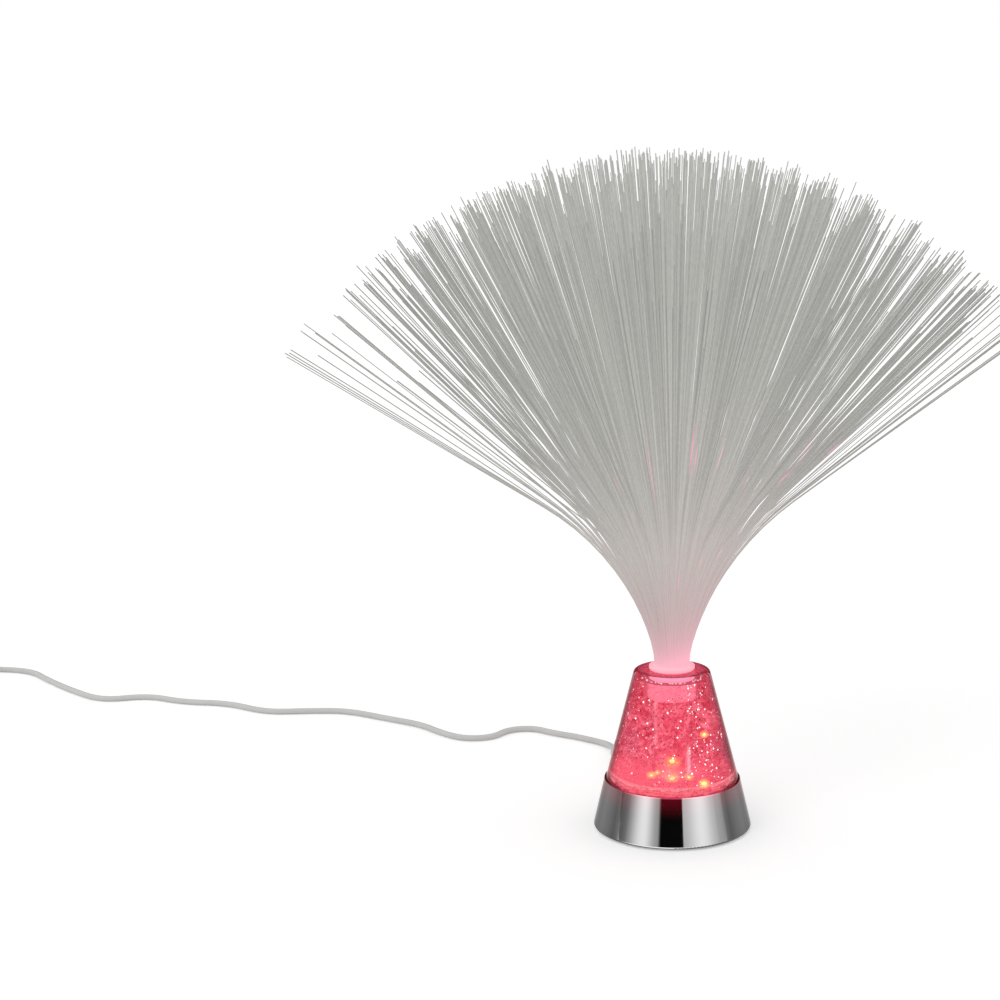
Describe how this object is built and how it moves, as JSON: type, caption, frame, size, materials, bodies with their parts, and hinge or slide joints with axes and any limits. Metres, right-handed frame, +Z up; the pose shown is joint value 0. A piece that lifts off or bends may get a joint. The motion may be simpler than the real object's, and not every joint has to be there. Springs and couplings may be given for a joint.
{
  "type": "fiber optic lamp",
  "caption": "Table lamp: plated cone base, clear cone vessel of glitter fluid, flanged collar and a wide spray of fine light-guiding fibres, with a thin low-voltage lead.",
  "frame": {"origin": "centre of the base on the table face", "axes": "+Z up along the lamp, the front is -Y, the cord and the button are on the +Y side"},
  "size_m": [0.679, 0.444, 0.3393],
  "materials": {
    "black_plastic": "matt moulded plastic",
    "black_rubber": "matt rubber",
    "brass_contacts": "plated contact metal",
    "clear_acrylic": "clear polished acrylic",
    "cord_sheath": "pale grey soft sheath",
    "fibres": "clear polished light-guiding fibre",
    "glitter_fluid": "clear fluid with silver flakes, lit red from below",
    "green_board": "printed circuit board",
    "grey_cover": "matt moulded plastic",
    "led_clear": "clear LED lens, lit",
    "milky_plastic": "milky moulded plastic",
    "plated_base": "chrome-plated plastic, mirror bright",
    "plug_steel": "nickel-plated steel",
    "red_lead": "insulated wire",
    "rubber_feet": "matt rubber",
    "steel_screws": "plain zinc-plated steel",
    "white_plastic": "white moulded plastic"
  },
  "bodies": {
    "base": {"base_shell": "plated_base", "board_screws": "steel_screws", "bottom_cover": "grey_cover", "button_body": "black_plastic", "button_leads": "red_lead", "button_nut": "steel_screws", "button_terminals": "brass_contacts", "capacitor": "black_plastic", "centre_led": "led_clear", "clamp_screws": "steel_screws", "controller_chip": "black_plastic", "cord_clamp": "grey_cover", "cord_coil": "cord_sheath", "cord_gland": "cord_sheath", "cord_leads": "red_lead", "cord_tail": "cord_sheath", "cover_screws": "steel_screws", "filler_plug": "milky_plastic", "filler_seal": "black_rubber", "glitter_fluid": "glitter_fluid", "led_board": "green_board", "light_column": "clear_acrylic", "light_funnel": "white_plastic", "light_window": "clear_acrylic", "plug_body": "cord_sheath", "plug_contacts": "brass_contacts", "plug_shell": "plug_steel", "plug_tongue": "white_plastic", "power_cord": "cord_sheath", "resistors": "black_plastic", "ring_leds": "led_clear", "rubber_feet": "rubber_feet", "socket_cup": "milky_plastic", "vessel_floor": "clear_acrylic", "vessel_gasket": "black_rubber", "vessel_screws": "steel_screws", "vessel_shell": "clear_acrylic"},
    "collar": {"fibre_collar": "white_plastic", "collar_seal": "milky_plastic"},
    "bundle": {"bundle_sleeve": "white_plastic", "fibre_centre": "fibres", "fibre_ring_1": "fibres", "fibre_ring_2": "fibres", "fibre_ring_3": "fibres", "fibre_ring_4": "fibres", "fibre_ring_5": "fibres", "fibre_ring_6": "fibres", "fibre_ring_7": "fibres", "fibre_ring_8": "fibres", "fibre_ring_9": "fibres"},
    "button": {"button_cap": "white_plastic"}
  },
  "joints": [
    {"name": "head_lift", "type": "slide", "parent": "base", "child": "collar", "axis": [0, 0, 1], "range_m": [0, 0.03]},
    {"name": "bundle_turn", "type": "hinge", "parent": "collar", "child": "bundle", "pos_m": [0, 0, 0.078], "axis": [0, 0, 1], "continuous": true},
    {"name": "button_press", "type": "slide", "parent": "base", "child": "button", "axis": [-0.3332, -0.9154, -0.2257], "range_m": [0, 0.0012], "stiffness_N_per_m": 400, "springref_m": -0.002}
  ]
}
